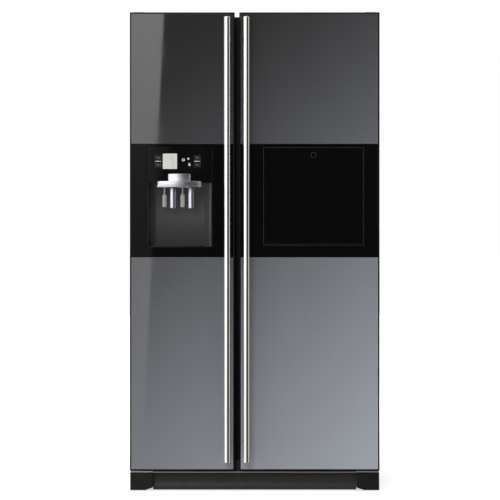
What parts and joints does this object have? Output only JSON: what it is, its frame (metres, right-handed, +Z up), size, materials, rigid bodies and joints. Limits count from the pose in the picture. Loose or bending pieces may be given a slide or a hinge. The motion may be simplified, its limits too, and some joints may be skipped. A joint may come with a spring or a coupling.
{
  "type": "side by side refrigerator",
  "caption": "Free-standing side by side refrigerator with glass door fronts, full-height bar handles, an ice and water dispenser and a drop-down home bar flap.",
  "frame": {"origin": "bottom centre of the object's box, on the floor", "axes": "+Z up, -Y out of the doors towards the user, +X to the user's right"},
  "size_m": [0.912, 0.734, 1.765],
  "materials": {
    "cabinet_paint": "satin",
    "door_border": "gloss",
    "grey_glass": "gloss",
    "black_glass": "gloss",
    "dispenser_black": "gloss",
    "black_trim": "satin",
    "plinth_plastic": "satin",
    "liner_white": "satin",
    "clear_plastic": "gloss",
    "shelf_glass": "gloss",
    "gasket_rubber": "matte",
    "zinc_steel": "satin",
    "brushed_silver": "satin",
    "lever_chrome": "polished",
    "satin_grey": "satin",
    "display_window": "gloss",
    "compressor_paint": "satin",
    "condenser_metal": "satin"
  },
  "bodies": {
    "cabinet": {"cabinet": "cabinet_paint", "freezer_liner": "liner_white", "fridge_liner": "liner_white", "machine_cover": "zinc_steel", "base_grille": "plinth_plastic", "left_corner_cover": "black_trim", "right_corner_cover": "black_trim", "left_lower_hinge": "zinc_steel", "right_lower_hinge": "zinc_steel", "left_upper_hinge": "zinc_steel", "right_upper_hinge": "zinc_steel", "left_hinge_cover": "black_trim", "right_hinge_cover": "black_trim", "compressor": "compressor_paint", "condenser": "condenser_metal", "evaporator_cover": "liner_white", "ice_maker": "liner_white", "ice_bucket": "clear_plastic", "freezer_shelf": "shelf_glass", "fridge_shelf_upper": "shelf_glass", "fridge_shelf_lower": "shelf_glass"},
    "freezer_door": {"freezer_door": "door_border", "freezer_door_liner": "liner_white", "freezer_upper_glass": "grey_glass", "freezer_lower_glass": "grey_glass", "dispenser_panel": "black_glass", "dispenser_housing": "dispenser_black", "dispenser_display": "display_window", "spout_cover": "brushed_silver", "spout_block": "satin_grey", "drip_tray": "plinth_plastic", "freezer_gasket": "gasket_rubber", "freezer_handle": "brushed_silver", "freezer_bin_upper": "clear_plastic", "freezer_bin_lower": "clear_plastic"},
    "fridge_door": {"fridge_door": "door_border", "fridge_door_liner": "liner_white", "fridge_upper_glass": "grey_glass", "fridge_lower_glass": "grey_glass", "bar_panel": "black_glass", "fridge_gasket": "gasket_rubber", "fridge_handle": "brushed_silver", "fridge_bin_upper": "clear_plastic", "fridge_bin_lower": "clear_plastic", "bar_bin": "clear_plastic"},
    "bar_door": {"bar_door": "black_glass"},
    "bar_latch": {"bar_latch": "black_glass"},
    "ice_lever": {"ice_lever": "lever_chrome"},
    "water_lever": {"water_lever": "lever_chrome"},
    "dispenser_button_upper_left": {"dispenser_button_upper_left": "black_trim"},
    "dispenser_button_lower_left": {"dispenser_button_lower_left": "black_trim"},
    "dispenser_button_upper_right": {"dispenser_button_upper_right": "black_trim"},
    "dispenser_button_lower_right": {"dispenser_button_lower_right": "black_trim"},
    "left_foot": {"left_foot": "plinth_plastic"},
    "right_foot": {"right_foot": "plinth_plastic"},
    "left_roller": {"left_roller": "plinth_plastic"},
    "right_roller": {"right_roller": "plinth_plastic"},
    "condenser_fan": {"condenser_fan": "plinth_plastic"},
    "freezer_drawer": {"freezer_drawer": "clear_plastic"},
    "fridge_drawer": {"fridge_drawer": "clear_plastic"}
  },
  "joints": [
    {"name": "freezer_door_swing", "type": "hinge", "parent": "cabinet", "child": "freezer_door", "pos_m": [-0.431, -0.27995, 0.9], "axis": [0, 0, -1], "range_deg": [0, 130]},
    {"name": "fridge_door_swing", "type": "hinge", "parent": "cabinet", "child": "fridge_door", "pos_m": [0.431, -0.27995, 0.9], "axis": [0, 0, 1], "range_deg": [0, 130]},
    {"name": "bar_door_swing", "type": "hinge", "parent": "fridge_door", "child": "bar_door", "pos_m": [0.2144, -0.30295, 0.908], "axis": [1, 0, 0], "range_deg": [0, 90]},
    {"name": "bar_latch_press", "type": "slide", "parent": "bar_door", "child": "bar_latch", "axis": [0, 1, 0], "range_m": [0, 0.003], "stiffness_N_per_m": 400, "springref_m": -0.002},
    {"name": "ice_lever_push", "type": "hinge", "parent": "freezer_door", "child": "ice_lever", "pos_m": [-0.299, -0.29495, 1.1137], "axis": [1, 0, 0], "range_deg": [0, 12], "stiffness_Nm_per_rad": 0.6, "springref_deg": -11.46},
    {"name": "water_lever_push", "type": "hinge", "parent": "freezer_door", "child": "water_lever", "pos_m": [-0.232, -0.29495, 1.1137], "axis": [1, 0, 0], "range_deg": [0, 12], "stiffness_Nm_per_rad": 0.6, "springref_deg": -11.46},
    {"name": "button_upper_left_press", "type": "slide", "parent": "freezer_door", "child": "dispenser_button_upper_left", "axis": [0, 1, 0], "range_m": [0, 0.0012], "stiffness_N_per_m": 500, "springref_m": -0.001},
    {"name": "button_lower_left_press", "type": "slide", "parent": "freezer_door", "child": "dispenser_button_lower_left", "axis": [0, 1, 0], "range_m": [0, 0.0012], "stiffness_N_per_m": 500, "springref_m": -0.001},
    {"name": "button_upper_right_press", "type": "slide", "parent": "freezer_door", "child": "dispenser_button_upper_right", "axis": [0, 1, 0], "range_m": [0, 0.0012], "stiffness_N_per_m": 500, "springref_m": -0.001},
    {"name": "button_lower_right_press", "type": "slide", "parent": "freezer_door", "child": "dispenser_button_lower_right", "axis": [0, 1, 0], "range_m": [0, 0.0012], "stiffness_N_per_m": 500, "springref_m": -0.001},
    {"name": "left_foot_turn", "type": "hinge", "parent": "cabinet", "child": "left_foot", "pos_m": [-0.413, -0.19795, 0.02], "axis": [0, 0, 1], "continuous": true},
    {"name": "right_foot_turn", "type": "hinge", "parent": "cabinet", "child": "right_foot", "pos_m": [0.413, -0.19795, 0.02], "axis": [0, 0, 1], "continuous": true},
    {"name": "left_roller_spin", "type": "hinge", "parent": "cabinet", "child": "left_roller", "pos_m": [-0.398, 0.24705, 0.017], "axis": [1, 0, 0], "continuous": true},
    {"name": "right_roller_spin", "type": "hinge", "parent": "cabinet", "child": "right_roller", "pos_m": [0.398, 0.24705, 0.017], "axis": [1, 0, 0], "continuous": true},
    {"name": "condenser_fan_spin", "type": "hinge", "parent": "cabinet", "child": "condenser_fan", "pos_m": [0.0767, 0.24695, 0.1193], "axis": [1, 0, 0], "continuous": true},
    {"name": "freezer_drawer_pull", "type": "slide", "parent": "cabinet", "child": "freezer_drawer", "axis": [0, -1, 0], "range_m": [0, 0.05]},
    {"name": "fridge_drawer_pull", "type": "slide", "parent": "cabinet", "child": "fridge_drawer", "axis": [0, -1, 0], "range_m": [0, 0.05]}
  ]
}
